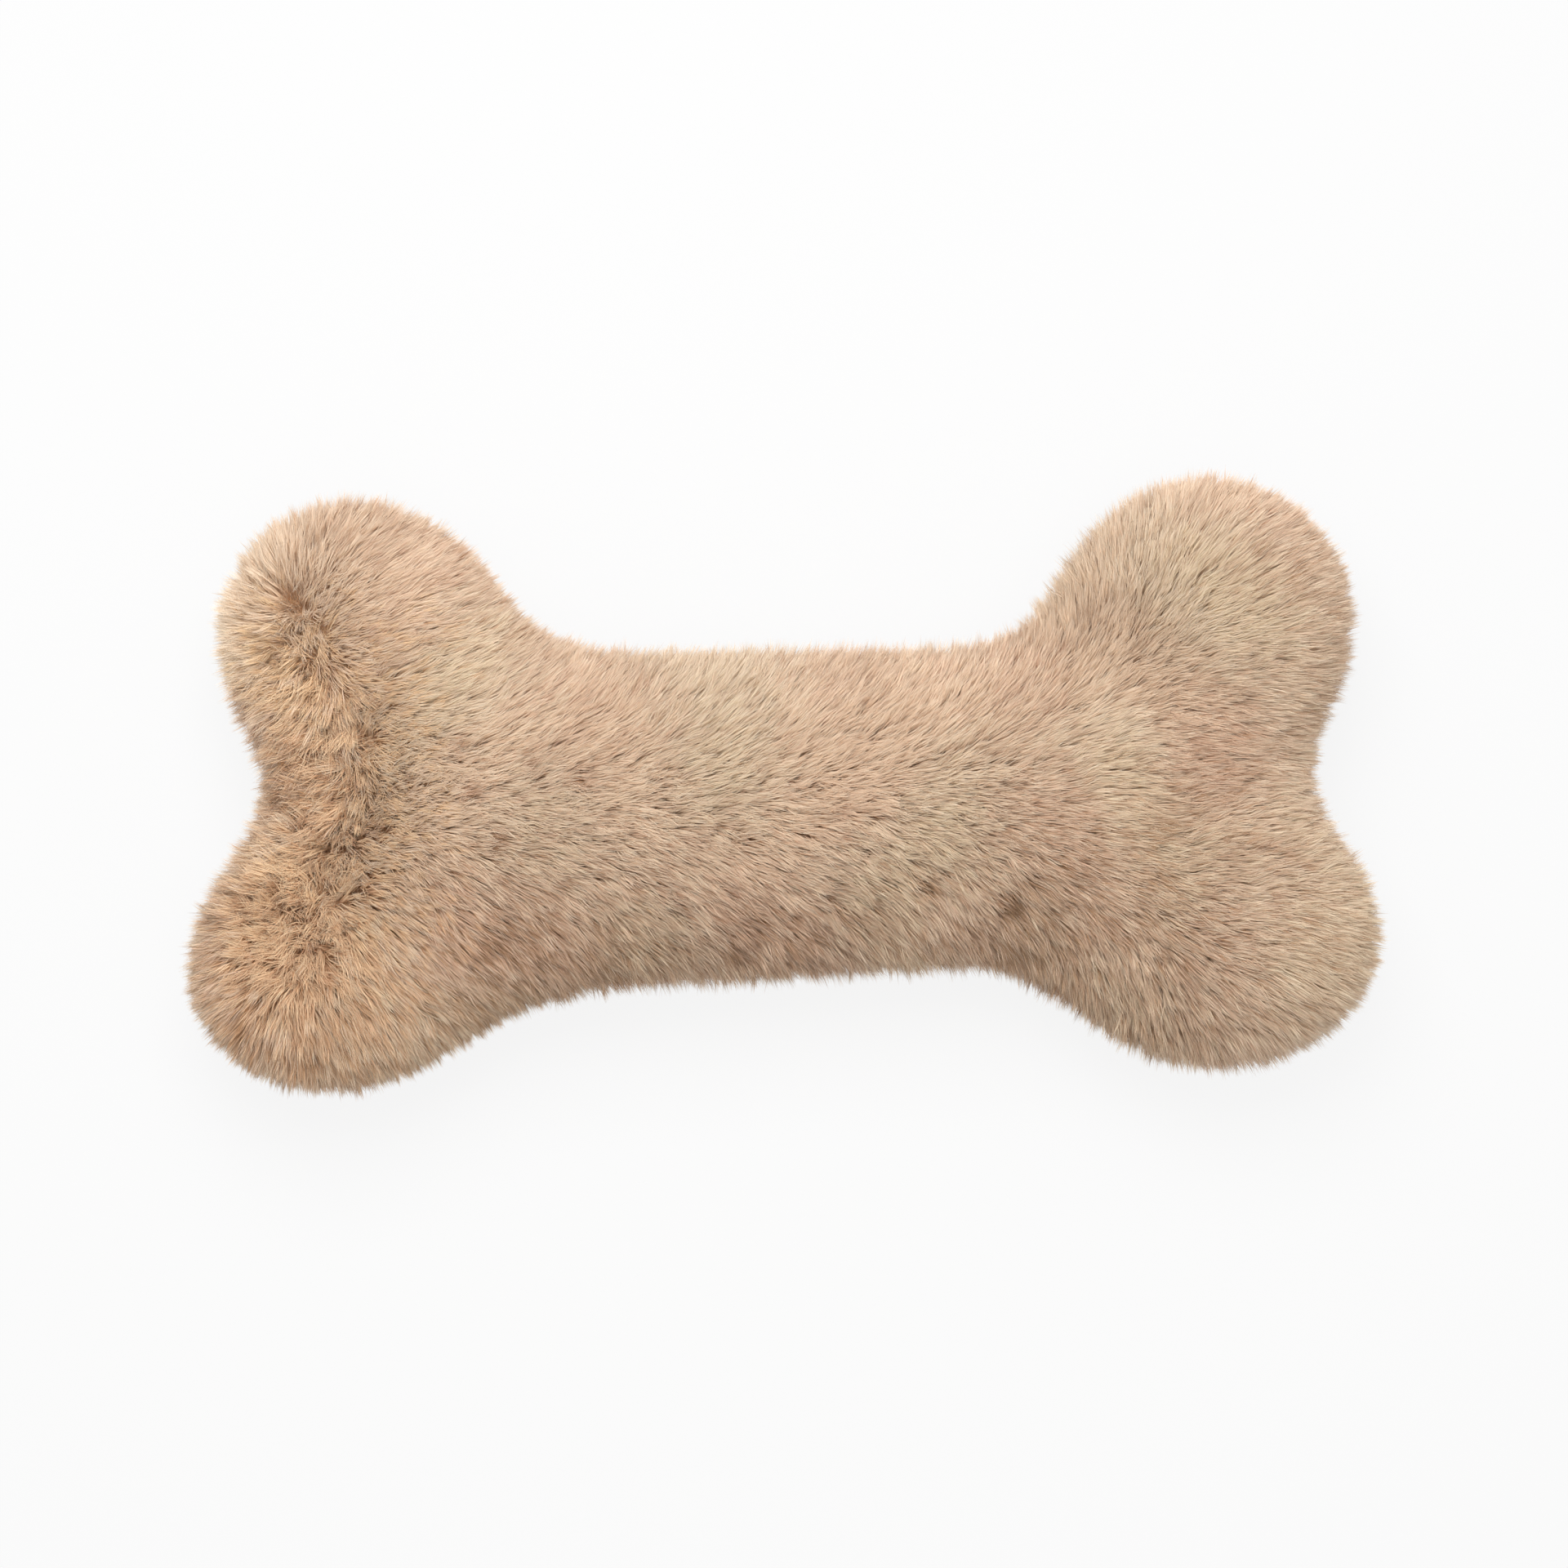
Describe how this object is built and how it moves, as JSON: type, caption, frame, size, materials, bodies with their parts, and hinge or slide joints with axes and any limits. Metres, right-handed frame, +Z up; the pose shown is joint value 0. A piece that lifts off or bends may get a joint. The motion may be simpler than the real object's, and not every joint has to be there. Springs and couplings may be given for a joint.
{
  "type": "plush dog toy",
  "caption": "Bone-shaped stuffed plush toy with rounded knuckles, packed with fibre round a pressable squeaker.",
  "frame": {"origin": "middle of the bone's outline, on the surface that its back panel lies on", "axes": "+X along the bone to the knuckles on the picture's right, +Y across it to the upper knuckles, +Z up out of the front panel"},
  "size_m": [0.2784, 0.1404, 0.0652],
  "materials": {
    "plush": "matte",
    "thread": "satin",
    "fibre": "matte",
    "air_cell": "satin",
    "whistle": "gloss"
  },
  "bodies": {
    "cover": {"front_panel": "plush", "back_panel": "plush", "seam_thread": "thread", "closing_stitch": "thread", "filling_left_upper_knuckle": "fibre", "filling_left_lower_knuckle": "fibre", "filling_right_upper_knuckle": "fibre", "filling_right_lower_knuckle": "fibre", "filling_shaft_front": "fibre", "filling_shaft_back": "fibre", "squeaker_base": "air_cell", "squeaker_bellows": "air_cell", "whistle_housing": "whistle", "reed_holder": "whistle", "reed_wedge": "whistle"},
    "squeaker_top": {"squeaker_top": "air_cell"},
    "reed": {"reed_tongue": "whistle"}
  },
  "joints": [
    {"name": "squeaker_press", "type": "slide", "parent": "cover", "child": "squeaker_top", "axis": [0, 0, -1], "range_m": [0, 0.008], "stiffness_N_per_m": 800, "deforming": ["squeaker_bellows"]},
    {"name": "reed_flutter", "type": "hinge", "parent": "cover", "child": "reed", "pos_m": [-0.00416, -0.0047, 0.02697], "axis": [0, -1, 0], "range_deg": [-1.2, 3], "stiffness_Nm_per_rad": 0.0002}
  ]
}
